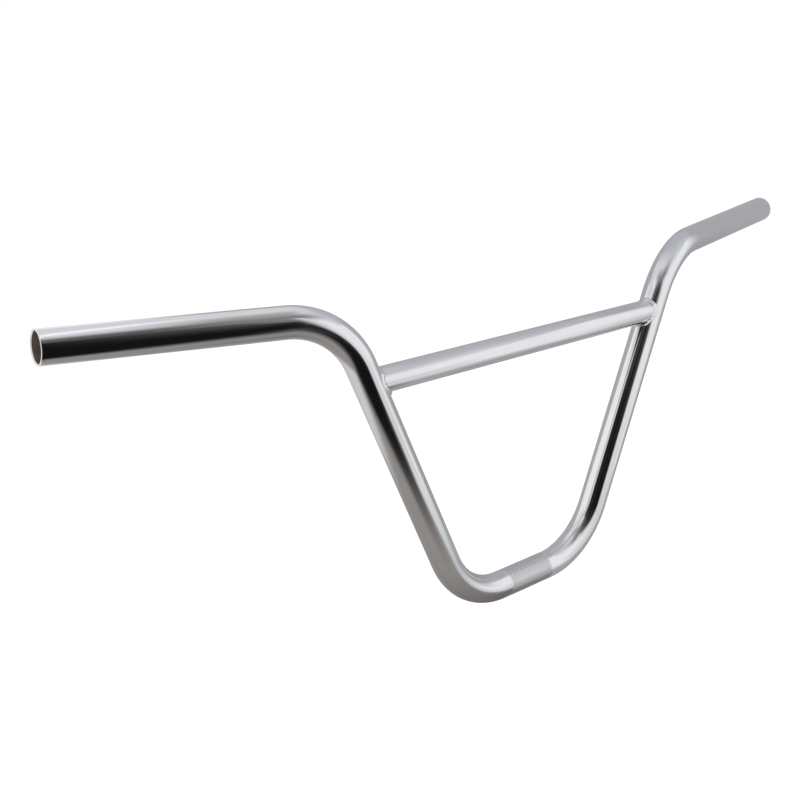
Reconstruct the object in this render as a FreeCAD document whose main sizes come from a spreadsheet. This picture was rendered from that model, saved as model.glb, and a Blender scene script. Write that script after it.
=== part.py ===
"""BMX handlebar: one bent steel tube, a coped crossbar between its legs and two rippled weld beads.

Millimetres. The origin is the middle of the clamp straight. X runs along the clamp straight, with the rider's
left at +X. Z is up in the plane of the two legs, and the grips sweep back to the rider, towards +Y.
"""
import FreeCAD
import Part
import Sketcher

import math
import os

SIZES = (
    ("tube_diameter", 22.2, "outside of the main tube"),
    ("tube_wall", 1.4, "wall of the main tube"),
    ("clamp_straight", 54.6, "straight length between the two lower bends"),
    ("bend_radius", 66.6, "all four bends, at the middle of the tube"),
    ("leg_angle", 64.8, "legs above the horizontal, in degrees"),
    ("leg_straight", 184.5, "straight length of each leg"),
    ("back_sweep", 10.1, "grips towards the rider, in degrees"),
    ("up_sweep", 2.7, "grips above the horizontal, in degrees"),
    ("grip_straight", 160.6, "straight length of each grip"),
    ("end_chamfer", 0.3, "broken edges of the open ends"),
    ("crossbar_diameter", 19.05, "outside of the crossbar"),
    ("crossbar_wall", 1.0, "wall of the crossbar"),
    ("crossbar_drop", 14.5, "crossbar axis below the upper bend, along the leg"),
    ("bead_radius", 3.2, "each ripple of a weld bead, a short round slug"),
    ("bead_tilt", 6.0, "how far each slug tips out over the next, in degrees"),
    ("bead_sink", 1.5, "how far the bead sits into the crossbar's sides"),
    ("bead_ripples", 18, "ripples round one weld bead"),
    ("bead_overlap", 1.4, "length of a ripple, in spacings of the ripples"),
)

# Where the legs run and where the crossbar's axis meets the left one, as formulas of the sizes.
LEG_FOOT_X = "(clamp_straight / 2 + bend_radius * sin(leg_angle))"
LEG_FOOT_Z = "(bend_radius * (1 - cos(leg_angle)))"
LEG_TOP_X = f"({LEG_FOOT_X} + leg_straight * cos(leg_angle))"
LEG_TOP_Z = f"({LEG_FOOT_Z} + leg_straight * sin(leg_angle))"
JOINT_X = f"({LEG_TOP_X} - crossbar_drop * cos(leg_angle))"
JOINT_Z = f"({LEG_TOP_Z} - crossbar_drop * sin(leg_angle))"

# The grip's direction seen from its leg: along the leg, across it in the legs' plane, and back out of that plane.
GRIP_ALONG = "(cos(leg_angle) * cos(up_sweep) * cos(back_sweep) + sin(leg_angle) * sin(up_sweep))"
GRIP_ACROSS = "(sin(leg_angle) * cos(up_sweep) * cos(back_sweep) - cos(leg_angle) * sin(up_sweep))"
GRIP_BACK = "(cos(up_sweep) * sin(back_sweep))"
UPPER_BEND = f"acos({GRIP_ALONG})"
UPPER_TWIST = f"atan2({GRIP_BACK}; {GRIP_ACROSS})"

# A sketch counts a curve's points up from one, and its own two axes down from minus one.
START, END, CENTRE = range(1, 4)
LEVEL_AXIS, UPRIGHT_AXIS = range(-1, -3, -1)
ORIGIN = (LEVEL_AXIS, START)
ACROSS_SKETCH = FreeCAD.Vector(0, 0, 1)

doc = FreeCAD.newDocument("bmx_handlebar")
sheet = doc.addObject("Spreadsheet::Sheet", "Sizes")
for row, (alias, number, note) in enumerate(SIZES, start=1):
    sheet.set(f"A{row}", alias)
    sheet.set(f"B{row}", str(number))
    sheet.set(f"C{row}", note)
    sheet.setAlias(f"B{row}", alias)
doc.recompute()


def formula(text):
    """Name the sheet before every size in a formula."""
    for alias, _, _ in SIZES:
        text = text.replace(alias, f"Sizes.{alias}")
    return text


def value(text):
    """What a formula gives with the sizes as they are. An angle comes in degrees."""
    result = sheet.evalExpression(formula(text))
    return float(getattr(result, "Value", result))


def bind(feature, **formulas):
    for name, text in formulas.items():
        feature.setExpression(name.replace("__", "."), formula(text))


def plane(body, role):
    return next(feature for feature in body.Origin.OriginFeatures if feature.Role == role)


def new_body(label):
    body = doc.addObject("PartDesign::Body", label)
    body.Label = label
    return body


def sketch_on(body, role, name, **offsets):
    """A sketch on one of the body's origin planes, moved and turned there by formulas."""
    sketch = body.newObject("Sketcher::SketchObject", name)
    sketch.AttachmentSupport = [(plane(body, role), "")]
    sketch.MapMode = "FlatFace"
    bind(sketch, **{f"AttachmentOffset__{place}": text for place, text in offsets.items()})
    return sketch


def relate(sketch, kind, *places):
    sketch.addConstraint(Sketcher.Constraint(kind, *places))


def dimension(sketch, kind, places, text):
    """A dimension of a sketch that follows a formula."""
    start = math.radians(value(text)) if kind == "Angle" else value(text)
    index = sketch.addConstraint(Sketcher.Constraint(kind, *places, start))
    sketch.setExpression(f"Constraints[{index}]", formula(text))


def add_circle(sketch, diameter, height="0"):
    """A circle at a height above the sketch's origin."""
    ring = Part.Circle(FreeCAD.Vector(0, value(height), 0), ACROSS_SKETCH, value(diameter) / 2)
    index = sketch.addGeometry(ring)
    relate(sketch, "PointOnObject", index, CENTRE, UPRIGHT_AXIS)
    dimension(sketch, "DistanceY", (*ORIGIN, index, CENTRE), height)
    dimension(sketch, "Diameter", (index,), diameter)


def add_tube_section(sketch, diameter, wall, height="0"):
    add_circle(sketch, diameter, height)
    add_circle(sketch, f"({diameter} - 2 * {wall})", height)


def add_line(sketch, start, length, angle):
    """A straight from a point, with its length and its angle above the sketch's horizontal as formulas."""
    turn = math.radians(value(angle))
    reach = FreeCAD.Vector(math.cos(turn), math.sin(turn), 0) * value(length)
    index = sketch.addGeometry(Part.LineSegment(start, start + reach))
    dimension(sketch, "Distance", (index,), length)
    dimension(sketch, "Angle", (index,), angle)
    return index


def add_bend(sketch, centre, first, last):
    """An arc of the bend radius, between two angles in degrees, anticlockwise."""
    ring = Part.Circle(centre, ACROSS_SKETCH, value("bend_radius"))
    index = sketch.addGeometry(Part.ArcOfCircle(ring, math.radians(first), math.radians(last)))
    dimension(sketch, "Radius", (index,), "bend_radius")
    return index


def sweep(body, name, section, path):
    pipe = body.newObject("PartDesign::AdditivePipe", name)
    pipe.Profile = section
    pipe.Spine = (path, [f"Edge{number + 1}" for number in range(path.GeometryCount)])
    return pipe


def mirror_body(body, last):
    """Mirror the half made so far to the rider's right."""
    mirror = body.newObject("PartDesign::Mirrored", f"{body.Label}_both_sides")
    mirror.Originals = [last]
    mirror.TransformMode = "Whole shape"
    mirror.MirrorPlane = (plane(body, "YZ_Plane"), [""])
    body.Tip = mirror
    doc.recompute()
    return mirror


def lower_path(body):
    """The centre line from the middle of the clamp straight to the top of the left leg."""
    path = sketch_on(body, "XZ_Plane", "lower_path")
    half_clamp = value("clamp_straight / 2")
    clamp = path.addGeometry(Part.LineSegment(FreeCAD.Vector(), FreeCAD.Vector(half_clamp, 0, 0)))
    relate(path, "Coincident", clamp, START, *ORIGIN)
    relate(path, "Horizontal", clamp)
    dimension(path, "Distance", (clamp,), "clamp_straight / 2")
    centre = FreeCAD.Vector(half_clamp, value("bend_radius"), 0)
    bend = add_bend(path, centre, -90, value("leg_angle") - 90)
    foot = FreeCAD.Vector(value(LEG_FOOT_X), value(LEG_FOOT_Z), 0)
    leg = add_line(path, foot, "leg_straight", "leg_angle")
    relate(path, "Tangent", clamp, END, bend, START)
    relate(path, "Tangent", bend, END, leg, START)
    return path


def upper_path(body):
    """The centre line of the upper bend and the grip, in the plane that holds both the leg and the grip."""
    path = sketch_on(
        body,
        "XZ_Plane",
        "upper_path",
        Base__x=LEG_TOP_X,
        Base__y=LEG_TOP_Z,
        Rotation__Yaw="leg_angle",
        Rotation__Roll=UPPER_TWIST,
    )
    radius = value("bend_radius")
    turn = value(UPPER_BEND)
    bend = add_bend(path, FreeCAD.Vector(0, -radius, 0), 90 - turn, 90)
    relate(path, "Coincident", bend, END, *ORIGIN)
    relate(path, "PointOnObject", bend, CENTRE, UPRIGHT_AXIS)
    rise = math.radians(90 - turn)
    bend_end = FreeCAD.Vector(radius * math.cos(rise), radius * (math.sin(rise) - 1), 0)
    grip = add_line(path, bend_end, "grip_straight", f"-{UPPER_BEND}")
    relate(path, "Tangent", bend, START, grip, START)
    return path


def make_bar_tube():
    """The main tube: half of it swept along two paths, mirrored, with the edges of its open ends broken."""
    body = new_body("bar_tube")
    path = lower_path(body)
    section = sketch_on(body, "YZ_Plane", "clamp_section")
    add_tube_section(section, "tube_diameter", "tube_wall")
    sweep(body, "clamp_and_leg", section, path)
    path = upper_path(body)
    section = sketch_on(
        body,
        "YZ_Plane",
        "leg_section",
        Base__y=LEG_TOP_Z,
        Base__z=LEG_TOP_X,
        Rotation__Roll="-leg_angle",
    )
    add_tube_section(section, "tube_diameter", "tube_wall")
    half = sweep(body, "bend_and_grip", section, path)
    whole = mirror_body(body, half)
    ends = [face for face in whole.Shape.Faces if face.Surface.TypeId == "Part::GeomPlane"]
    rims = [edge for face in ends for edge in face.Edges]
    numbers = [
        number
        for number, edge in enumerate(whole.Shape.Edges, start=1)
        if any(edge.isSame(rim) for rim in rims)
    ]
    chamfer = body.newObject("PartDesign::Chamfer", "broken_edges")
    chamfer.Base = (whole, [f"Edge{number}" for number in numbers])
    bind(chamfer, Size="end_chamfer")
    return body


def make_crossbar():
    """The crossbar: a straight tube between the legs' axes, with both ends coped to the legs' round."""
    body = new_body("crossbar")
    section = sketch_on(body, "YZ_Plane", "crossbar_section")
    add_tube_section(section, "crossbar_diameter", "crossbar_wall", JOINT_Z)
    tube = body.newObject("PartDesign::Pad", "crossbar_half")
    tube.Profile = section
    bind(tube, Length=JOINT_X)
    doc.recompute()
    leg = sketch_on(
        body,
        "YZ_Plane",
        "leg_outline",
        Base__y=JOINT_Z,
        Base__z=JOINT_X,
        Rotation__Roll="-leg_angle",
    )
    add_circle(leg, "tube_diameter")
    cope = body.newObject("PartDesign::Pocket", "cope")
    cope.Profile = leg
    cope.SideType = "Symmetric"
    cope.Type = "ThroughAll"
    mirror_body(body, cope)
    if not tube.Shape.Volume > cope.Shape.Volume > 0:
        raise RuntimeError("the cope cuts nothing from the crossbar")
    return body


def make_ripple(number):
    """One ripple of the left weld: a round slug along the saddle on which the crossbar meets the leg."""
    turn = f"({number} * 360 / bead_ripples)"
    height = f"(crossbar_diameter / 2 * sin({turn}))"
    side = f"((crossbar_diameter / 2 - bead_sink) * cos({turn}))"
    depth = f"sqrt((tube_diameter / 2)^2 - {side}^2)"
    inboard = f"(({height} * cos(leg_angle) - {depth}) / sin(leg_angle))"
    climb = f"(crossbar_diameter / 2 * cos({turn}))"
    swing = f"(-(crossbar_diameter / 2 - bead_sink) * sin({turn}))"
    aim_x = f"(({climb} * cos(leg_angle) + {side} * {swing} / {depth}) / sin(leg_angle))"
    tip = "(crossbar_diameter / 2 * tan(bead_tilt))"
    aim_y = f"({swing} + {tip} * cos({turn}))"
    aim_z = f"({climb} + {tip} * sin({turn}))"
    half = "(bead_overlap * pi / bead_ripples)"
    foot_x = f"({JOINT_X} + {inboard} - {half} * {aim_x})"
    foot_y = f"({side} - {half} * {aim_y})"
    foot_z = f"({JOINT_Z} + {height} - {half} * {aim_z})"
    foot = f"create(<<vector>>; {foot_x}; {foot_y}; {foot_z})"
    aim = f"create(<<vector>>; {aim_x}; {aim_y}; {aim_z})"
    upright = "create(<<vector>>; 0; 0; 1)"
    ripple = doc.addObject("Part::Cylinder", f"ripple_{number}")
    bind(
        ripple,
        Radius="bead_radius",
        Height=f"2 * {half} * hypot({aim_x}; {aim_y}; {aim_z})",
        Placement=f"create(<<placement>>; {foot}; create(<<rotation>>; {upright}; {aim}))",
    )
    return ripple


def make_welds():
    """The left bead as a ring of ripples, less the space of both tubes, and its mirror on the right."""
    ring = doc.addObject("Part::MultiFuse", "ripples")
    ring.Shapes = [make_ripple(number) for number in range(int(value("bead_ripples")))]
    leg = doc.addObject("Part::Cylinder", "leg_space")
    bind(
        leg,
        Radius="tube_diameter / 2",
        Height="leg_straight",
        Placement__Base__x=LEG_FOOT_X,
        Placement__Base__z=LEG_FOOT_Z,
        Placement__Rotation__Pitch="90 - leg_angle",
    )
    bar = doc.addObject("Part::Cylinder", "crossbar_space")
    bind(
        bar,
        Radius="crossbar_diameter / 2",
        Height=JOINT_X,
        Placement__Base__z=JOINT_Z,
        Placement__Rotation__Pitch="90",
    )
    tubes = doc.addObject("Part::Fuse", "tubes_space")
    tubes.Base = leg
    tubes.Tool = bar
    left = doc.addObject("Part::Cut", "left_weld")
    left.Base = ring
    left.Tool = tubes
    right = doc.addObject("Part::Mirroring", "right_weld")
    right.Source = left
    right.Normal = FreeCAD.Vector(1, 0, 0)
    return [left, right]


pieces = [make_bar_tube(), make_crossbar(), *make_welds()]
doc.recompute()

failed = [item.Label for item in doc.Objects if {"Invalid", "Error"} & set(item.State)]
failed += [piece.Label for piece in pieces if piece.Shape.isNull() or not piece.Shape.isValid()]
if failed:
    raise RuntimeError(f"these did not build: {failed}")

os.makedirs("parts", exist_ok=True)
for piece in pieces:
    piece.Shape.exportStep(f"parts/{piece.Label}.step")
    box = piece.Shape.BoundBox
    print(f"{piece.Label}: {piece.Shape.Volume:.0f} mm3, {box.XLength:.1f} x {box.YLength:.1f} x {box.ZLength:.1f} mm")
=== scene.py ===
# %% [markdown]
# # A chrome BMX handlebar
# The handlebar is one long steel tube, bent four times, with a thinner crossbar welded between its legs.
# The whole thing was polished and chrome plated after welding, so almost all of its look is reflection.
# A mirror shows every fault in a mesh, so the coarse construction solids are replaced here by finer pieces
# of the same size, and most of the remaining work goes into what the chrome has to look at.

# %% Load the construction model
import math

import bmesh
import bpy
from mathutils import Matrix, Vector


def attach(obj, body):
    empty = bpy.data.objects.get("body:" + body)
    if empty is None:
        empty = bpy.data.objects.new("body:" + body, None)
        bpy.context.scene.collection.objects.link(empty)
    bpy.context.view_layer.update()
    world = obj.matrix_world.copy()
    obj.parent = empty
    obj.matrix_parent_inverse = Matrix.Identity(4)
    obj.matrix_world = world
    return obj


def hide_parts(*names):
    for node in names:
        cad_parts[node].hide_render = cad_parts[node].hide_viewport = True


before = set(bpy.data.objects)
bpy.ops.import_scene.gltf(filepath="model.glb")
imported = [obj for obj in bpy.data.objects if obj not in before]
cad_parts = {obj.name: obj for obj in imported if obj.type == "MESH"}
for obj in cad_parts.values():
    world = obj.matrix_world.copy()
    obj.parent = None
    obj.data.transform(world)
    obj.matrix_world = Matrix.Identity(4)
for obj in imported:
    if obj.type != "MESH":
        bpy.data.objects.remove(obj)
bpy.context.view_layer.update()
print("construction pieces:", sorted(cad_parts))

# %% [markdown]
# ## Sizes
# The sizes are the ones that the construction model is built from, in millimetres.
# The origin is the middle of the clamp straight, X runs to the rider's left, Y back to the rider, Z up.
# They could be measured on the solids, but the bender's own numbers make exact bends and straights.

# %% Name the sizes
MM = 0.001
TUBE_RADIUS = 11.1 * MM
TUBE_WALL = 1.4 * MM
CLAMP_HALF = 27.3 * MM
BEND_RADIUS = 66.6 * MM
LEG_ANGLE = math.radians(64.8)
LEG_STRAIGHT = 184.5 * MM
BACK_SWEEP = math.radians(10.1)
UP_SWEEP = math.radians(2.7)
GRIP_STRAIGHT = 160.6 * MM
CROSSBAR_RADIUS = 9.525 * MM
CROSSBAR_WALL = 1.0 * MM
CROSSBAR_DROP = 14.5 * MM

ALONG_CLAMP = Vector((1, 0, 0))
ALONG_LEG = Vector((math.cos(LEG_ANGLE), 0, math.sin(LEG_ANGLE)))
ALONG_GRIP = Vector((
    math.cos(BACK_SWEEP) * math.cos(UP_SWEEP),
    math.sin(BACK_SWEEP) * math.cos(UP_SWEEP),
    math.sin(UP_SWEEP),
))
print("a leg leans", round(math.degrees(LEG_ANGLE), 1), "degrees up from the clamp straight")

# %% [markdown]
# ## Metal from noise
# No real metal is one flat colour: its tone, its gloss and its evenness drift a little from place to place.
# A picture could hold that, but noise needs no picture, has no seam and stays sharp close up.
# So each finish starts from noise on Object coordinates, which drives its tone, its gloss and its bump.

# %% Write the helpers for metal
def add_node(material, kind, **settings):
    node = material.node_tree.nodes.new(kind)
    for name, setting in settings.items():
        setattr(node, name, setting)
    return node


def new_metal(name):
    """A metal shader with Object coordinates ready for its textures."""
    material = bpy.data.materials.new(name)
    material.use_nodes = True
    shader = material.node_tree.nodes["Principled BSDF"]
    shader.inputs["Metallic"].default_value = 1.0
    place = add_node(material, "ShaderNodeTexCoord")
    return material, shader, place.outputs["Object"]


def add_noise(material, place, scale, detail, roughness=0.5):
    noise = add_node(material, "ShaderNodeTexNoise")
    noise.inputs["Scale"].default_value = scale
    noise.inputs["Detail"].default_value = detail
    noise.inputs["Roughness"].default_value = roughness
    material.node_tree.links.new(place, noise.inputs["Vector"])
    return noise.outputs["Fac"]


def add_range(material, value, span, first, last):
    """Turns the noise values in a span into numbers from first to last."""
    spread = add_node(material, "ShaderNodeMapRange")
    levels = {"From Min": span[0], "From Max": span[1], "To Min": first, "To Max": last}
    for name, level in levels.items():
        spread.inputs[name].default_value = level
    material.node_tree.links.new(value, spread.inputs["Value"])
    return spread.outputs["Result"]


def add_tone(material, value, span, dark, light):
    """Turns the noise values in a span into colours from dark to light."""
    ramp = add_node(material, "ShaderNodeValToRGB")
    first, last = ramp.color_ramp.elements
    first.position, last.position = span
    first.color = dark
    last.color = light
    material.node_tree.links.new(value, ramp.inputs["Fac"])
    return ramp.outputs["Color"]


def add_bump(material, shader, height, distance, strength):
    bump = add_node(material, "ShaderNodeBump")
    bump.inputs["Distance"].default_value = distance
    bump.inputs["Strength"].default_value = strength
    material.node_tree.links.new(height, bump.inputs["Height"])
    material.node_tree.links.new(bump.outputs["Normal"], shader.inputs["Normal"])


print("each metal drifts in tone, gloss and height")

# %% [markdown]
# ## Chrome
# Bright chrome is a thin hard plating: nearly a perfect mirror, a little cool in colour.
# On a real bar it carries faint hairlines from polishing and patches of haze from handling.
# A flat metal shader would look like computer chrome. So a broad noise changes the tone and the gloss a
# little, and a fine, very shallow bump breaks up the mirror. The knurl and the weld beads are duller.
# Little light gets out of the knurl's grooves, so shade is painted into the chrome's tone there, by an
# attribute of the mesh.

# %% Mix the chrome
CHROME_TINT = (0.865, 0.872, 0.885, 1)
CHROME_SHADE = (0.835, 0.84, 0.855, 1)
# painted shade: the chrome's tone at the bottom of a knurl groove
GROOVE_PAINTED_SHADE = (0.66, 0.665, 0.675, 1)
HANDLING = {"scale": 34, "detail": 4, "roughness": 0.6}
HANDLING_TONES = (0.35, 0.65)
HANDLING_GLOSS = (0.3, 0.7)
POLISHING = {"scale": 420, "detail": 3}
POLISHING_STRENGTH = 0.5


def add_groove_shade(material, tone):
    """Paints shade into a tone where the mesh says that it lies in a groove."""
    groove = add_node(material, "ShaderNodeAttribute", attribute_name="groove")
    mix = add_node(material, "ShaderNodeMix", data_type="RGBA")
    mix.inputs["B"].default_value = GROOVE_PAINTED_SHADE
    material.node_tree.links.new(groove.outputs["Fac"], mix.inputs["Factor"])
    material.node_tree.links.new(tone, mix.inputs["A"])
    return mix.outputs["Result"]


def mix_chrome(name, sharp, hazy, ripple):
    """Plated metal. Its gloss drifts between sharp and hazy, and ripple is the depth of its waviness."""
    material, shader, place = new_metal(name)
    link = material.node_tree.links.new
    handling = add_noise(material, place, **HANDLING)
    tone = add_tone(material, handling, HANDLING_TONES, CHROME_SHADE, CHROME_TINT)
    link(add_groove_shade(material, tone), shader.inputs["Base Color"])
    link(add_range(material, handling, HANDLING_GLOSS, hazy, sharp), shader.inputs["Roughness"])
    polishing = add_noise(material, place, **POLISHING)
    add_bump(material, shader, polishing, ripple, POLISHING_STRENGTH)
    return material


bar_chrome = mix_chrome("bar_chrome", sharp=0.05, hazy=0.13, ripple=0.01 * MM)
knurl_chrome = mix_chrome("knurl_chrome", sharp=0.1, hazy=0.16, ripple=0.01 * MM)
weld_chrome = mix_chrome("weld_chrome", sharp=0.08, hazy=0.16, ripple=0.02 * MM)
print("plated finishes:", bar_chrome.name, knurl_chrome.name, weld_chrome.name)

# %% [markdown]
# ## Bare steel inside the tube
# The plating hardly reaches into the open ends, so the bore shows drawn steel: brownish grey, matt, mottled.
# A separate liner could carry it, but it is the same tube, so it is a second material on the inner wall.

# %% Mix the bare steel
DARK_STEEL = (0.13, 0.108, 0.09, 1)
LIGHT_STEEL = (0.34, 0.295, 0.25, 1)
STEEL_BARENESS = 0.4
MOTTLE = {"scale": 160, "detail": 6, "roughness": 0.65}
MOTTLE_TONES = (0.3, 0.75)
MOTTLE_GLOSS = (0.3, 0.7)
MATT = 0.6
LESS_MATT = 0.42
PITTING = 0.15 * MM
PITTING_STRENGTH = 0.6


def mix_bare_steel():
    material, shader, place = new_metal("bore_steel")
    shader.inputs["Metallic"].default_value = STEEL_BARENESS
    link = material.node_tree.links.new
    mottle = add_noise(material, place, **MOTTLE)
    link(add_tone(material, mottle, MOTTLE_TONES, DARK_STEEL, LIGHT_STEEL), shader.inputs["Base Color"])
    link(add_range(material, mottle, MOTTLE_GLOSS, MATT, LESS_MATT), shader.inputs["Roughness"])
    add_bump(material, shader, mottle, PITTING, PITTING_STRENGTH)
    return material


bore_steel = mix_bare_steel()
print("bore finish:", bore_steel.name)

# %% [markdown]
# ## Drawing a tube
# A bender makes a handlebar by drawing a straight tube past a former: straight, bend, straight, bend.
# A curve with a bevel could make the same path, but its rings can't be counted on for a knurl or a rim.
# So a ring of edges is pushed along each straight and spun round each bend, just as the bender does it.
# Short guard rows at both ends of a straight keep the shading of a bend from leaking along it.

# %% Start a ring
AROUND = 120


def edges_at(verts):
    return list(dict.fromkeys(edge for vert in verts for edge in vert.link_edges))


def verts_of(ring):
    return list(dict.fromkeys(vert for edge in ring for vert in edge.verts))


def middle_of(ring):
    verts = verts_of(ring)
    return sum((vert.co for vert in verts), Vector()) / len(verts)


def start_ring(bm, radius):
    """A ring of edges round the X axis, at the middle of the clamp."""
    upright = Matrix.Rotation(math.radians(90), 4, "Y")
    made = bmesh.ops.create_circle(bm, segments=AROUND, radius=radius, matrix=upright)
    return edges_at(made["verts"])


print("each ring has", AROUND, "edges")

# %% Write the bender's two moves
GUARD = 2 * MM


def push(bm, ring, offset):
    """Extrudes the ring and returns the new one."""
    made = bmesh.ops.extrude_edge_only(bm, edges=ring)["geom"]
    verts = {item for item in made if isinstance(item, bmesh.types.BMVert)}
    bmesh.ops.translate(bm, verts=list(verts), vec=offset)
    edges = [item for item in made if isinstance(item, bmesh.types.BMEdge)]
    return [edge for edge in edges if verts.issuperset(edge.verts)]


def push_straight(bm, ring, along, length):
    for stretch in (GUARD, length - 2 * GUARD, GUARD):
        ring = push(bm, ring, along * stretch)
    return ring


def bend(bm, ring, before, after, steps):
    """Spins the ring from one direction of the tube to the next, round the former."""
    towards = (after - before * after.dot(before)).normalized()
    made = bmesh.ops.spin(
        bm, geom=ring, cent=middle_of(ring) + towards * BEND_RADIUS, axis=before.cross(after).normalized(),
        angle=before.angle(after), steps=steps, use_duplicate=False,
    )
    return [item for item in made["geom_last"] if isinstance(item, bmesh.types.BMEdge)]


def draw_half_bar(bm, ring, bend_steps):
    """From the end of the clamp straight to the bar end, on the rider's left."""
    ring = bend(bm, ring, ALONG_CLAMP, ALONG_LEG, bend_steps)
    ring = push_straight(bm, ring, ALONG_LEG, LEG_STRAIGHT)
    ring = bend(bm, ring, ALONG_LEG, ALONG_GRIP, bend_steps)
    return push_straight(bm, ring, ALONG_GRIP, GRIP_STRAIGHT)


print("the upper bend turns", round(math.degrees(ALONG_LEG.angle(ALONG_GRIP)), 1), "degrees")

# %% [markdown]
# ## Handing a piece over
# A construction solid could stay, with a better finish, but its facets would show in the chrome.
# So each finished mesh becomes an object at the origin, which rides on the bar's one body and stands in for
# the solid that it is a finer copy of.

# %% Write the hand-over
def mesh_of(name, bm):
    mesh = bpy.data.meshes.new(name)
    bm.to_mesh(mesh)
    bm.free()
    return mesh


def add_object(name, contents):
    thing = bpy.data.objects.new(name, contents)
    bpy.context.scene.collection.objects.link(thing)
    return thing


def make_piece(name, bm, materials, node):
    """Hands a finished mesh to Blender, in place of the construction solid."""
    mesh = mesh_of(name, bm)
    for material in materials:
        mesh.materials.append(material)
    piece = add_object(name, mesh)
    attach(piece, "root")
    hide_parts(node)
    mesh.calc_loop_triangles()
    print(name, "has", len(mesh.loop_triangles), "triangles")


# %% [markdown]
# ## The knurl
# A stem grips the middle of the bar, where two sets of crossing grooves are rolled into the tube.
# They leave rows of little diamonds with blunt tops, which scatter the light and look like a satin band.
# Bump would vanish on the outline, so the diamonds are modelled: the rings stand a quarter of a diamond
# apart, and each vertex takes its height from its distance to the nearest groove.
# The same number stays on the vertex as the attribute that the chrome reads to paint shade into the grooves.

# %% Roll the knurl
DIAMONDS_AROUND = 30
QUARTERS = AROUND // DIAMONDS_AROUND
DIAMOND_LENGTH = 2.6 * MM
KNURL_STEP = DIAMOND_LENGTH / QUARTERS
KNURL_ROWS = 37
GROOVE_DEPTH = 0.16 * MM
CREST_HEIGHT = 0.04 * MM
BLUNT_TOP = 1.6
FADING_ROWS = 3
PLATED, BARE, KNURLED = range(3)


def steps_to_groove(count):
    return min(count % QUARTERS, -count % QUARTERS)


def in_groove(column, row):
    """1 at the bottom of a groove and 0 on the blunt top of a diamond."""
    steps = min(steps_to_groove(column + row), steps_to_groove(column - row), BLUNT_TOP)
    return 1 - steps / BLUNT_TOP


def roll_knurl(bm, faces):
    """Presses the diamonds into the first rows of the tube. The last few rows fade out."""
    groove_layer = bm.verts.layers.float.new("groove")
    for vert in {vert for face in faces for vert in face.verts}:
        row = round(vert.co.x / KNURL_STEP)
        column = round(math.atan2(vert.co.y, vert.co.z) / (2 * math.pi) * AROUND)
        fade = min((KNURL_ROWS - row) / FADING_ROWS, 1)
        # this number also sets how much painted shade the chrome puts on the vertex
        vert[groove_layer] = fade * in_groove(column, row)
        height = fade * CREST_HEIGHT - vert[groove_layer] * (GROOVE_DEPTH + CREST_HEIGHT)
        vert.co.yz *= 1 + height / TUBE_RADIUS
    for face in bmesh.ops.triangulate(bm, faces=faces, quad_method="SHORT_EDGE")["faces"]:
        face.smooth = False
        face.material_index = KNURLED


print("a diamond is", round(2 * math.pi * TUBE_RADIUS / DIAMONDS_AROUND / MM, 2), "mm wide")

# %% [markdown]
# ## The long tube
# The long tube is open at both ends. A reamer takes the burr off the mouth of the bore and leaves a narrow
# bright cone, and a file rounds the corners of the rim. Two tubes and a boolean cut could make that, with a
# ragged mesh. Here half of the tube is drawn, outside and inside, and the two walls meet in the rim.
# Mirroring the half then gives the whole bar, as symmetric as a real one.

# %% Draw the outside and the bore
REAM_WIDTH = 0.5 * MM
REAM_DEPTH = 0.6 * MM
BORE_RADIUS = TUBE_RADIUS - TUBE_WALL
MOUTH_RADIUS = BORE_RADIUS + REAM_WIDTH
OUTER_BEND_STEPS = 40
INNER_BEND_STEPS = 20


def draw_outside(bm):
    ring = start_ring(bm, TUBE_RADIUS)
    for _ in range(KNURL_ROWS):
        ring = push(bm, ring, ALONG_CLAMP * KNURL_STEP)
    knurled = bm.faces[:]
    ring = push(bm, ring, ALONG_CLAMP * (CLAMP_HALF - KNURL_ROWS * KNURL_STEP))
    end = draw_half_bar(bm, ring, OUTER_BEND_STEPS)
    for face in bm.faces:
        face.smooth = True
    roll_knurl(bm, knurled)
    return end


def resize(bm, ring, factor):
    """Makes a ring at the bar's end wider or narrower."""
    about_end = Matrix.Translation(-bar_end)
    bmesh.ops.transform(bm, matrix=Matrix.Scale(factor, 4), space=about_end, verts=verts_of(ring))


def draw_inside(bm):
    """The bore, with a plated mouth that is reamed a little wider."""
    outside = set(bm.faces)
    ring = push_straight(bm, start_ring(bm, BORE_RADIUS), ALONG_CLAMP, CLAMP_HALF)
    end = draw_half_bar(bm, ring, INNER_BEND_STEPS)
    for face in set(bm.faces) - outside:
        face.smooth = True
        face.material_index = BARE
    mouth = push(bm, end, (0, 0, 0))
    for face in {face for edge in mouth for face in edge.link_faces}:
        face.material_index = PLATED
    for edge in end:
        edge.smooth = False
    bmesh.ops.translate(bm, verts=verts_of(end), vec=-ALONG_GRIP * REAM_DEPTH)
    resize(bm, mouth, MOUTH_RADIUS / BORE_RADIUS)


bm = bmesh.new()
outer_end = draw_outside(bm)
bar_end = middle_of(outer_end)
draw_inside(bm)
print("the bar is", round(2 * bar_end.x / MM, 1), "mm wide and rises", round(bar_end.z / MM, 1), "mm")

# %% Close the rim and mirror the half
TOUCHING = 0.01 * MM
OUTER_ROUND = 0.3 * MM
INNER_ROUND = 0.1 * MM
ROUND_SEGMENTS = 4
RIM_CORNER = math.radians(57)
RIM_MIDDLE = (MOUTH_RADIUS + TUBE_RADIUS) / 2


def at_end(vert):
    return (vert.co - bar_end).dot(ALONG_GRIP) > -TOUCHING


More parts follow.
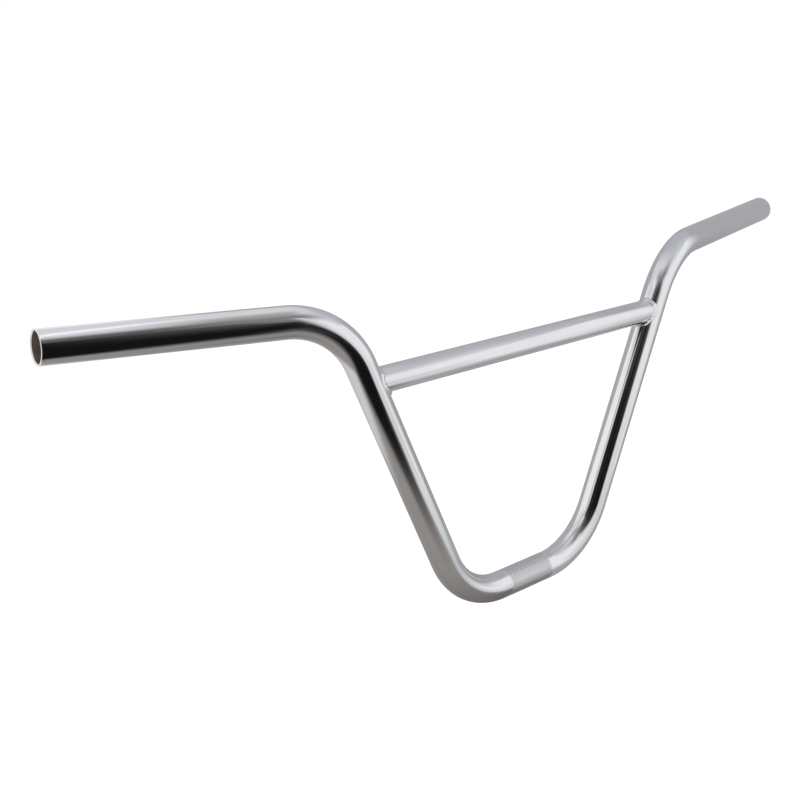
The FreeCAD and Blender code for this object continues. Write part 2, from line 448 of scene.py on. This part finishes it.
def close_rim(bm):
    """Draws the outer end in to the mouth, where it meets the inner wall, and rounds both corners."""
    resize(bm, push(bm, outer_end, (0, 0, 0)), MOUTH_RADIUS / TUBE_RADIUS)
    bmesh.ops.remove_doubles(bm, verts=bm.verts[:], dist=TOUCHING)
    rim = [face for face in bm.faces if all(at_end(vert) for vert in face.verts)]
    for face in rim:
        face.smooth = True
    rim_edges = dict.fromkeys(edge for face in rim for edge in face.edges)
    corners = [edge for edge in rim_edges if edge.calc_face_angle() > RIM_CORNER]
    inner = [edge for edge in corners if (edge.verts[0].co - bar_end).length < RIM_MIDDLE]
    outer = [edge for edge in corners if edge not in inner]
    for edges, offset in ((outer, OUTER_ROUND), (inner, INNER_ROUND)):
        bmesh.ops.bevel(
            bm, geom=edges, offset=offset, segments=ROUND_SEGMENTS, profile=0.5, affect="EDGES", material=-1,
        )


def mirror_half(bm):
    half = bm.verts[:] + bm.edges[:] + bm.faces[:]
    bmesh.ops.mirror(bm, geom=half, axis="X", merge_dist=TOUCHING)
    bmesh.ops.recalc_face_normals(bm, faces=bm.faces[:])


close_rim(bm)
mirror_half(bm)
make_piece("long_tube", bm, (bar_chrome, bore_steel, knurl_chrome), "bar_tube")

# %% [markdown]
# ## The crossbar
# The crossbar is a thinner tube. Each end is coped: cut to a saddle that sits on the leg without a gap.
# The wall is a thin rectangle spun round the tube's axis, and each end vertex then slides along the tube
# until it lies on the leg. A boolean cut would do the same with a ragged mesh.

# %% Make the crossbar
LEG_FOOT = Vector((CLAMP_HALF, 0, BEND_RADIUS)) + BEND_RADIUS * Vector((ALONG_LEG.z, 0, -ALONG_LEG.x))
JOINT = LEG_FOOT + ALONG_LEG * (LEG_STRAIGHT - CROSSBAR_DROP)
CROSSBAR_STEPS = 120
SHARP_ANGLE = math.radians(40)


def saddle(y, z):
    """How far along X the leg lies from the joint, at a point this far from the crossbar's axis."""
    return (z * ALONG_LEG.x - math.sqrt(TUBE_RADIUS ** 2 - y ** 2)) / ALONG_LEG.z


def draw_wall_section(bm):
    """The cut wall as a rectangle above the axis, from the middle of the bar to the joint."""
    inner, outer = CROSSBAR_RADIUS - CROSSBAR_WALL, CROSSBAR_RADIUS
    low = bm.verts.new((0, 0, JOINT.z + inner))
    high = bm.verts.new((0, 0, JOINT.z + outer))
    far_low, far_high = (bm.verts.new((JOINT.x, 0, vert.co.z)) for vert in (low, high))
    return [bm.edges.new(pair) for pair in ((low, far_low), (far_low, far_high), (far_high, high))]


bm = bmesh.new()
bmesh.ops.spin(
    bm, geom=draw_wall_section(bm), cent=(0, 0, JOINT.z), axis=(1, 0, 0), angle=2 * math.pi,
    steps=CROSSBAR_STEPS, use_merge=True,
)
for vert in bm.verts:
    if vert.co.x > 0:
        vert.co.x = JOINT.x + saddle(vert.co.y, vert.co.z - JOINT.z)
for face in bm.faces:
    face.smooth = True
for edge in bm.edges:
    edge.smooth = edge.calc_face_angle(0) < SHARP_ANGLE
mirror_half(bm)
make_piece("cross_tube", bm, (bar_chrome,), "crossbar")
print("the crossbar's joints are", round(2 * JOINT.x / MM, 1), "mm apart")

# %% [markdown]
# ## The weld beads
# Each joint is closed by a bead of weld, laid drop by drop, so its surface is a row of crescents.
# It is a low fillet: one edge lies on the crossbar, the other on the leg, and it is a little round between.
# A bump on a plain ring could show the ripples, but not on the outline.
# So a ring is spun round the crossbar, and every vertex then moves to its place on the rippled fillet.
# The back of the ring goes into the steel behind the corner, so that the bead is a closed body.

# %% Find the edges of a bead
BEAD_WIDTH = 2.3 * MM
BEAD_CROWN = 0.35 * MM
BURIED = 0.12 * MM
ACROSS_LEG = Vector((-ALONG_LEG.z, 0, ALONG_LEG.x))
SMALL_TURN = 0.01


def unroll(turn):
    """The corner's place on the leg, unrolled flat: the way round the leg, and the way along it."""
    y, z = CROSSBAR_RADIUS * math.cos(turn), CROSSBAR_RADIUS * math.sin(turn)
    around = TUBE_RADIUS * math.asin(y / TUBE_RADIUS)
    return Vector((around, saddle(y, z) * ALONG_LEG.x + z * ALONG_LEG.z))


def roll_up(flat):
    """A place on the unrolled leg, back on the round leg, and the way out from the leg there."""
    angle = flat.x / TUBE_RADIUS
    out = ACROSS_LEG * math.cos(angle) + Vector((0, math.sin(angle), 0))
    return JOINT + ALONG_LEG * flat.y + out * TUBE_RADIUS, out


def bead_edges(turn, width):
    """The corner, the bead's edges on the crossbar and on the leg, and the way out from the corner."""
    corner, from_leg = roll_up(unroll(turn))
    from_crossbar = Vector((0, math.cos(turn), math.sin(turn)))
    on_crossbar = corner - ALONG_CLAMP * width - from_crossbar * BURIED
    forward = (unroll(turn + SMALL_TURN) - unroll(turn - SMALL_TURN)).normalized()
    on_leg, out_there = roll_up(unroll(turn) + Vector((forward.y, -forward.x)) * width)
    return corner, on_crossbar, on_leg - out_there * BURIED, (from_leg + from_crossbar).normalized()


edge_on_leg = bead_edges(0, BEAD_WIDTH)[2]
print("the bead's edge on the leg stands", round(edge_on_leg.y / MM, 1), "mm from the middle")

# %% Make the weld beads
BEAD_STEPS = 288
BEAD_SECTION = 32
SHOWN = 0.75
RIPPLES = 22
RIPPLE_DEPTH = 0.7
RIPPLE_MIDDLE = 0.6
RIPPLE_BOW = 1.1
UNSTEADY = 0.2
SLOW_WAVES = 3
QUICK_WAVES = 8
WAVE_LAG = 1


def between(start, middle, end, share):
    """A point on the round curve from start to end that is drawn towards middle."""
    return start.lerp(middle, share).lerp(middle.lerp(end, share), share)


def lay_bead(vert):
    """Moves a vertex of the plain ring to its place on the rippled bead."""
    y, z = vert.co.y, vert.co.z - JOINT.z
    turn = math.atan2(z, y)
    section = math.atan2(math.hypot(y, z) - CROSSBAR_RADIUS, -vert.co.x) / (2 * math.pi) % 1
    waves = math.sin(SLOW_WAVES * turn + WAVE_LAG) + math.sin(QUICK_WAVES * turn)
    unsteady = 1 + UNSTEADY * waves / 2
    corner, on_crossbar, on_leg, out = bead_edges(turn, BEAD_WIDTH * unsteady)
    middle = (on_crossbar + on_leg) / 2
    if section < SHOWN:
        share = section / SHOWN
        ripple = abs(math.cos(RIPPLES * turn / 2 + RIPPLE_BOW * math.sin(math.pi * share)))
        crown = BEAD_CROWN * (1 + RIPPLE_DEPTH * (ripple - RIPPLE_MIDDLE))
        vert.co = between(on_crossbar, middle + out * 2 * crown, on_leg, share)
    else:
        share = (section - SHOWN) / (1 - SHOWN)
        vert.co = between(on_leg, corner * 2 - middle - out * 2 * BURIED, on_crossbar, share)


def draw_bead(bm):
    above = Matrix.Translation((0, 0, JOINT.z + CROSSBAR_RADIUS))
    flat = Matrix.Rotation(math.radians(90), 4, "X")
    section = bmesh.ops.create_circle(bm, segments=BEAD_SECTION, radius=BEAD_WIDTH, matrix=above @ flat)
    bmesh.ops.spin(
        bm, geom=edges_at(section["verts"]), cent=(0, 0, JOINT.z), axis=(1, 0, 0), angle=2 * math.pi,
        steps=BEAD_STEPS, use_merge=True,
    )
    for vert in bm.verts:
        lay_bead(vert)
    for face in bm.faces:
        face.smooth = True


def make_bead(name, node, side):
    bm = bmesh.new()
    draw_bead(bm)
    bmesh.ops.scale(bm, verts=bm.verts[:], vec=(side, 1, 1))
    bmesh.ops.recalc_face_normals(bm, faces=bm.faces[:])
    make_piece(name, bm, (weld_chrome,), node)


make_bead("left_bead", "left_weld", 1)
make_bead("right_bead", "right_weld", -1)
print("each bead has", RIPPLES, "ripples")

# %% [markdown]
# ## White surroundings
# The photograph has a plain white background. More light would make one too, but would wash out the object.
# So the surroundings are white wherever they are looked at, straight or in metal, and a little lower as
# light on matt surfaces.

# %% Whiten the surroundings
WHITE = (1, 1, 1, 1)
SOFT_LIGHT = 0.9


def add_seen(tree):
    """1 for a ray that looks at the studio, straight or by metal or glass, and 0 for light on matt."""
    path = tree.nodes.new("ShaderNodeLightPath")
    seen = path.outputs["Is Camera Ray"]
    for name in ("Is Glossy Ray", "Is Transmission Ray"):
        joined = tree.nodes.new("ShaderNodeMath")
        joined.operation = "MAXIMUM"
        tree.links.new(seen, joined.inputs[0])
        tree.links.new(path.outputs[name], joined.inputs[1])
        seen = joined.outputs["Value"]
    return seen


def add_strength(tree, unseen, seen):
    """One strength for light on matt things and another for what is looked at."""
    strength = tree.nodes.new("ShaderNodeMapRange")
    strength.inputs["To Min"].default_value = unseen
    strength.inputs["To Max"].default_value = seen
    tree.links.new(add_seen(tree), strength.inputs["Value"])
    return strength.outputs["Result"]


world = bpy.data.worlds.new("white_surroundings")
world.use_nodes = True
bpy.context.scene.world = world
background = world.node_tree.nodes["Background"]
background.inputs["Color"].default_value = WHITE
world.node_tree.links.new(add_strength(world.node_tree, SOFT_LIGHT, 1), background.inputs["Strength"])
print("the surroundings light matt things at", SOFT_LIGHT)

# %% [markdown]
# ## Floor and lamp
# The bar hangs by its clamp over a plain white floor, with one large soft lamp above for a faint shadow.
# A backdrop with a bend would do as well, but a wide flat floor has no edge in any view.

# %% Lay the floor and hang the lamp
FLOOR_LEVEL = -0.32
FLOOR_SIZE = 30
FLOOR_WHITE = (0.93, 0.93, 0.93, 1)
FLOOR_ROUGHNESS = 0.9
FLOOR_GLOW = 0.18
LAMP_HEIGHT = 2.6
LAMP_SIZE = 2.2
LAMP_POWER = 16

floor_paint = bpy.data.materials.new("floor_paint")
floor_paint.use_nodes = True
floor_tree = floor_paint.node_tree
paint = floor_tree.nodes["Principled BSDF"]
paint.inputs["Base Color"].default_value = FLOOR_WHITE
paint.inputs["Roughness"].default_value = FLOOR_ROUGHNESS
paint.inputs["Emission Color"].default_value = WHITE
floor_tree.links.new(add_strength(floor_tree, 0, FLOOR_GLOW), paint.inputs["Emission Strength"])

bm = bmesh.new()
at_level = Matrix.Translation((0, 0, FLOOR_LEVEL))
bmesh.ops.create_grid(bm, x_segments=1, y_segments=1, size=FLOOR_SIZE, matrix=at_level)
floor = add_object("floor", mesh_of("floor", bm))
floor.data.materials.append(floor_paint)
floor.visible_glossy = False

lamp = add_object("overhead_lamp", bpy.data.lights.new("overhead_lamp", "AREA"))
lamp.data.energy = LAMP_POWER
lamp.data.size = LAMP_SIZE
lamp.location = (0, 0, LAMP_HEIGHT)
lamp.visible_glossy = False
print("the floor is", round(-FLOOR_LEVEL, 2), "m below the clamp")

# %% [markdown]
# ## The light tent
# Chrome in a pure white room is simply white, so a photographer puts it in a small tent of pale cloth.
# The walls catch the light unevenly, the floor is grey, and the front has an opening for the camera:
# the opening is what draws the black bands that show how round the tubes are.
# Lamps and cards could do it too, but each would also light the object and need its own place.
# The tent here is one box, shaded vertex by vertex in broad soft patches. Only reflections see it:
# it gives no light, throws no shadow, and the camera looks through it.

# %% Write the helpers for cloth
SCREEN_WHITE = 255
SCREEN_OFFSET = 0.055
SCREEN_POWER = 2.4
INWARD = {
    "left": (1, 0, 0), "right": (-1, 0, 0), "front": (0, 1, 0),
    "back": (0, -1, 0), "low": (0, 0, 1), "high": (0, 0, -1),
}


def in_chrome(screen):
    """How bright cloth must be for chrome to show it in this screen colour."""
    shown = [(level / SCREEN_WHITE + SCREEN_OFFSET) / (1 + SCREEN_OFFSET) for level in screen]
    return Vector([level ** SCREEN_POWER / tint for level, tint in zip(shown, CHROME_TINT)])


def ramp_up(inside, soft):
    """0 at a patch's edge and 1 where it is full."""
    share = min(max(inside / soft, 0), 1)
    return share * share * (3 - 2 * share)


def patch(screen, slants=(), **limits):
    """A patch of cloth. A limit is the place of an edge and the width over which it fades in.

    A slant is an edge across any other direction: the direction, the place along it and the width.
    """
    edges = []
    for name, (place, soft) in limits.items():
        edges.append((Vector(INWARD[name]), place * sum(INWARD[name]), soft))
    for direction, place, soft in slants:
        edges.append((Vector(direction).normalized(), place, soft))
    return in_chrome(screen), edges


def share_of(edges, point):
    """How much of a patch there is at a point of the tent."""
    share = 1
    for direction, place, soft in edges:
        share *= ramp_up(point.dot(direction) - place, soft)
    return share


print("in the middle of a soft edge, a patch has", ramp_up(0.5, 1), "of its tone")

# %% [markdown]
# ## The tent's patches
# The cloth of a tent hangs in folds, and each part of it catches another amount of light.
# A painted picture could say so, but a few named patches can be moved and changed one at a time.
# They are laid from first to last, so a later one covers an earlier one, and edges are in metres.

# %% Lay out the walls and the ceiling
ON_CEILING = {"low": (0.50, 0.05)}
GLARE_SIDES = (
    ((-0.64, 0.769, 0), 0.09, 0.05),
    ((0.64, -0.769, 0), -0.21, 0.06),
    ((-0.769, -0.64, 0), 0.0, 0.14),
)
WALL_PATCHES = {
    "bright back": patch((233, 233, 233), right=(-0.02, 0.14), front=(-0.05, 0.15)),
    "grey back": patch((165, 166, 170), left=(-0.15, 0.14), front=(-0.22, 0.16), high=(0.58, 0.07)),
    "foot of the right wall": patch(
        (150, 150, 152), left=(0.40, 0.05), front=(-0.45, 0.45), high=(0.26, 0.2),
    ),
    "foot of the back wall": patch(
        (188, 188, 188), right=(-0.02, 0.14), front=(0.26, 0.06), high=(0.06, 0.1),
    ),
    "lilac ceiling": patch((174, 175, 182), left=(-0.06, 0.10), front=(-0.85, 1.0), **ON_CEILING),
    "pale ceiling": patch((208, 209, 214), right=(0.26, 0.24), **ON_CEILING),
    "sag": patch((160, 160, 158), left=(-0.22, 0.12), right=(0.06, 0.14), back=(0.04, 0.16), **ON_CEILING),
    "dim strip": patch((126, 125, 125), right=(0.36, 0.34), back=(-0.1, 0.28), **ON_CEILING),
    "dim corner": patch((88, 87, 86), right=(-0.05, 0.14), back=(-0.1, 0.28), **ON_CEILING),
    "lamp's glare": patch((244, 245, 248), slants=GLARE_SIDES, **ON_CEILING),
    "left wall": patch((212, 213, 215), right=(-0.40, 0.05), back=(0.10, 0.12)),
}
print("the walls and the ceiling have", len(WALL_PATCHES), "patches")

# %% Lay out the floor of the tent
ON_FLOOR = {"high": (-0.09, 0.04)}
FOLD = ((-0.91, -0.414, 0), -0.11, 0.03)
FOLD_SHADE = ((0.91, 0.414, 0), -0.22, 0.3)
LEFT_OF_GREY = ((-0.707, 0.707, 0), -0.42, 0.2)
LEFT_CORNER = ((-0.853, 0.521, 0), 0.28, 0.10)
DARK_CORNER = ((-0.72, -0.696, 0), 0.165, 0.21)
FLOOR_PATCHES = {
    "right floor": patch((155, 155, 157), **ON_FLOOR),
    "front of the right floor": patch((214, 215, 216), back=(-0.08, 0.4), **ON_FLOOR),
    "grey floor": patch((140, 137, 135), slants=(FOLD, LEFT_OF_GREY), **ON_FLOOR),
    "shadow of the fold": patch(
        (104, 101, 100), front=(-0.32, 0.25), back=(0.14, 0.12), slants=(FOLD, FOLD_SHADE), **ON_FLOOR,
    ),
    "back floor": patch((195, 195, 194), right=(-0.10, 0.12), front=(0.17, 0.2), **ON_FLOOR),
    "left floor": patch((200, 200, 200), slants=(LEFT_CORNER,), **ON_FLOOR),
    "left end of the floor": patch((88, 87, 87), right=(-0.24, 0.14), back=(0.0, 0.14), **ON_FLOOR),
    "dark floor": patch(
        (20, 19, 19), right=(0.06, 0.10), back=(-0.06, 0.14), slants=(DARK_CORNER,), **ON_FLOOR,
    ),
    "sill": patch((85, 84, 84), left=(-0.09, 0.10), right=(0.14, 0.10), back=(-0.40, 0.10), **ON_FLOOR),
}
print("the floor has", len(FLOOR_PATCHES), "patches")

# %% Lay out the front and the opening
ON_FRONT = {"back": (-0.50, 0.06)}
ON_LEFT = {"right": (-0.38, 0.06)}
OPENING_EDGE = ((-0.995, 0, -0.1), -0.11, 0.09)
FRONT_PATCHES = {
    "flap": patch((196, 197, 199), left=(-0.06, 0.05), right=(0.24, 0.2), **ON_FRONT),
    "foot of the flap": patch((204, 204, 206), left=(0.0, 0.1), high=(0.2, 0.3), **ON_FRONT),
    "opening": patch((20, 19, 19), slants=(OPENING_EDGE,), **ON_FRONT),
    "edge of the opening": patch(
        (40, 39, 39), left=(-0.05, 0.04), right=(0.10, 0.07), high=(0.05, 0.09), **ON_FRONT,
    ),
    "top of the opening": patch(
        (80, 78, 78), left=(-0.36, 0.3), low=(0.08, 0.6), slants=(OPENING_EDGE,), **ON_FRONT,
    ),
    "lit top of the opening": patch(
        (125, 124, 124), left=(-0.07, 0.06), low=(0.32, 0.08), slants=(OPENING_EDGE,), **ON_FRONT,
    ),
    "opening's side": patch((33, 32, 32), back=(-0.08, 0.14), **ON_LEFT),
    "upper side": patch((55, 53, 52), back=(-0.18, 0.10), low=(0.48, 0.04), **ON_LEFT),
}
PATCHES = {**WALL_PATCHES, **FLOOR_PATCHES, **FRONT_PATCHES}
print("the tent has", len(PATCHES), "patches of cloth")

# %% Put up the tent
TENT_LOW = Vector((-0.48, -0.58, -0.14))
TENT_HIGH = Vector((0.48, 0.35, 0.58))
TENT_CUTS = 60
WHITE_CLOTH = (229, 230, 233)


def cloth_tone(point):
    tone = in_chrome(WHITE_CLOTH)
    for cloth, edges in PATCHES.values():
        tone = tone.lerp(cloth, share_of(edges, point))
    return tone


bm = bmesh.new()
bmesh.ops.create_cube(bm, size=1)
bmesh.ops.scale(bm, verts=bm.verts[:], vec=TENT_HIGH - TENT_LOW)
bmesh.ops.translate(bm, verts=bm.verts[:], vec=(TENT_HIGH + TENT_LOW) / 2)
bmesh.ops.subdivide_edges(bm, edges=bm.edges[:], cuts=TENT_CUTS, use_grid_fill=True)
bmesh.ops.reverse_faces(bm, faces=bm.faces[:])
tone_layer = bm.verts.layers.float_color.new("tone")
for vert in bm.verts:
    vert[tone_layer] = (*cloth_tone(vert.co), 1)
tent = add_object("light_tent", mesh_of("light_tent", bm))
tent.visible_camera = False
tent.visible_diffuse = False
tent.visible_shadow = False
print("the tent is", [round(side, 2) for side in TENT_HIGH - TENT_LOW], "m")

# %% Make the cloth glow
tent_cloth = bpy.data.materials.new("tent_cloth")
tent_cloth.use_nodes = True
tent_cloth.cycles.emission_sampling = "NONE"
tent_tree = tent_cloth.node_tree
tent_tree.nodes.remove(tent_tree.nodes["Principled BSDF"])
glow = add_node(tent_cloth, "ShaderNodeEmission")
shade = add_node(tent_cloth, "ShaderNodeAttribute", attribute_name="tone")
tent_tree.links.new(shade.outputs["Color"], glow.inputs["Color"])
tent_tree.links.new(glow.outputs["Emission"], tent_tree.nodes["Material Output"].inputs["Surface"])
tent.data.materials.append(tent_cloth)
print("the cloth reads its tone from the attribute", shade.attribute_name)

# %% [markdown]
# ## The camera
# The photograph was taken from the front and the rider's right, a metre away and a little above the bar.
# The camera could be turned by eye, but its place, its focal length and its one degree of roll were fitted,
# and lay the bar's outline on the photo.

# %% Place the camera
CAMERA_PLACE = Vector((-0.70177, -0.61690, 0.41677))
CAMERA_AIM = Vector((0.65257, 0.70514, -0.27738))
CAMERA_ROLL = math.radians(-1.174)
FOCAL_LENGTH = 56.33
SENSOR_WIDTH = 36

camera = add_object("photo_camera", bpy.data.cameras.new("photo_camera"))
camera.data.sensor_width = SENSOR_WIDTH
camera.data.lens = FOCAL_LENGTH
camera.location = CAMERA_PLACE
level_aim = CAMERA_AIM.to_track_quat("-Z", "Y").to_matrix()
camera.rotation_euler = (level_aim @ Matrix.Rotation(CAMERA_ROLL, 3, "Z")).to_euler()
bpy.context.scene.camera = camera
bpy.context.scene.view_settings.view_transform = "Standard"
print("the camera is", round(CAMERA_PLACE.length, 2), "m from the clamp")
